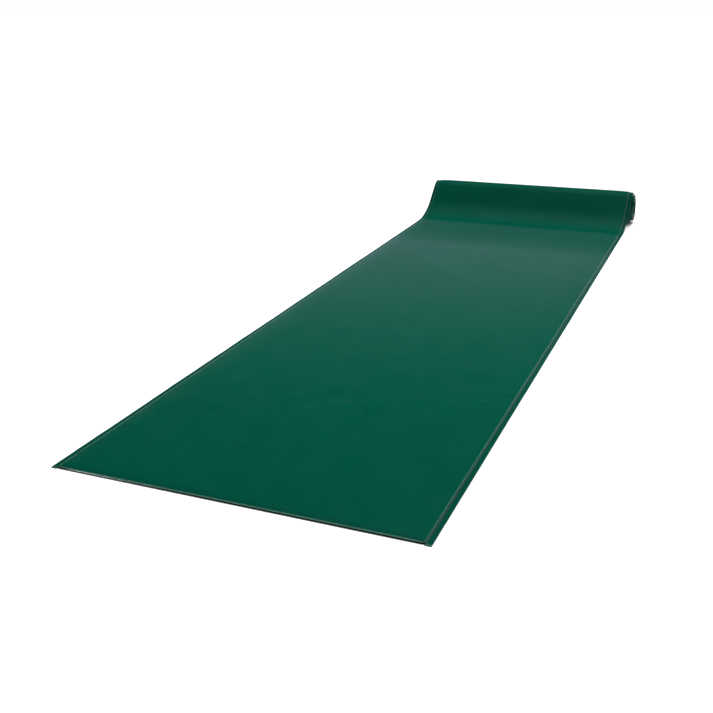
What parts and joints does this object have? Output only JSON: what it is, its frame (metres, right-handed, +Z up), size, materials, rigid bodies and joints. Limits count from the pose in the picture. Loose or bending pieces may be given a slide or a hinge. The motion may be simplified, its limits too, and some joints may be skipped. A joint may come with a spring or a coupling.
{
  "type": "practice putting mat",
  "caption": "Padded roll-out practice putting mat with sewn side hems, lying flat with its far end rolled under itself; the roll pays out and the front end lifts.",
  "frame": {"origin": "on the floor, under the middle of the bounding box of the mat as it lies", "axes": "+Y along the mat from its front edge towards the roll, +X across the mat to the right as seen from the front edge, +Z up"},
  "size_m": [0.9, 2.8778, 0.138],
  "materials": {
    "putting_face": "satin dark green vinyl, fine grain",
    "underside": "matt dark green vinyl with a non-slip grain",
    "foam": "closed-cell foam, charcoal",
    "hem": "satin dark green vinyl, pressed flat",
    "thread": "polyester sewing thread, dark green"
  },
  "bodies": {
    "front_tip": {"front_tip_base_cover": "underside", "front_tip_foam_core": "foam", "front_tip_top_cover": "putting_face", "front_tip_right_hem": "hem", "front_tip_left_hem": "hem", "front_tip_right_seam": "thread", "front_tip_left_seam": "thread", "front_fold": "putting_face"},
    "front_middle": {"front_middle_base_cover": "underside", "front_middle_foam_core": "foam", "front_middle_top_cover": "putting_face", "front_middle_right_hem": "hem", "front_middle_left_hem": "hem", "front_middle_right_seam": "thread", "front_middle_left_seam": "thread"},
    "front_heel": {"front_heel_base_cover": "underside", "front_heel_foam_core": "foam", "front_heel_top_cover": "putting_face", "front_heel_right_hem": "hem", "front_heel_left_hem": "hem", "front_heel_right_seam": "thread", "front_heel_left_seam": "thread"},
    "run": {"run_base_cover": "underside", "run_foam_core": "foam", "run_top_cover": "putting_face", "run_right_hem": "hem", "run_left_hem": "hem", "run_right_seam": "thread", "run_left_seam": "thread"},
    "lead": {"lead_base_cover": "underside", "lead_foam_core": "foam", "lead_top_cover": "putting_face", "lead_right_hem": "hem", "lead_left_hem": "hem", "lead_right_seam": "thread", "lead_left_seam": "thread"},
    "coil": {"coil_base_cover": "underside", "coil_foam_core": "foam", "coil_top_cover": "putting_face", "coil_right_hem": "hem", "coil_left_hem": "hem", "coil_right_seam": "thread", "coil_left_seam": "thread", "rear_fold": "putting_face"}
  },
  "joints": [
    {"name": "front_lift", "type": "hinge", "parent": "run", "child": "front_heel", "pos_m": [0, -0.98894, 0.006], "axis": [-1, 0, 0], "range_deg": [0, 20]},
    {"name": "front_middle_bend", "type": "hinge", "parent": "front_heel", "child": "front_middle", "pos_m": [0, -1.13894, 0.006], "axis": [-1, 0, 0], "range_deg": [0, 20]},
    {"name": "front_tip_bend", "type": "hinge", "parent": "front_middle", "child": "front_tip", "pos_m": [0, -1.28894, 0.006], "axis": [-1, 0, 0], "range_deg": [0, 20]},
    {"name": "unroll", "type": "slide", "parent": "run", "child": "lead", "axis": [0, 1, 0], "range_m": [0, 0.3713]},
    {"name": "coil_turn", "type": "hinge", "parent": "lead", "child": "coil", "pos_m": [0, 1.36994, 0.069], "axis": [1, 0, 0], "range_deg": [0, 360]}
  ],
  "couplings": [
    {"joint": "front_middle_bend", "follows": "front_lift", "ratio": 1},
    {"joint": "front_tip_bend", "follows": "front_lift", "ratio": 1},
    {"joint": "coil_turn", "follows": "unroll", "rad_per_m": 16.92}
  ]
}
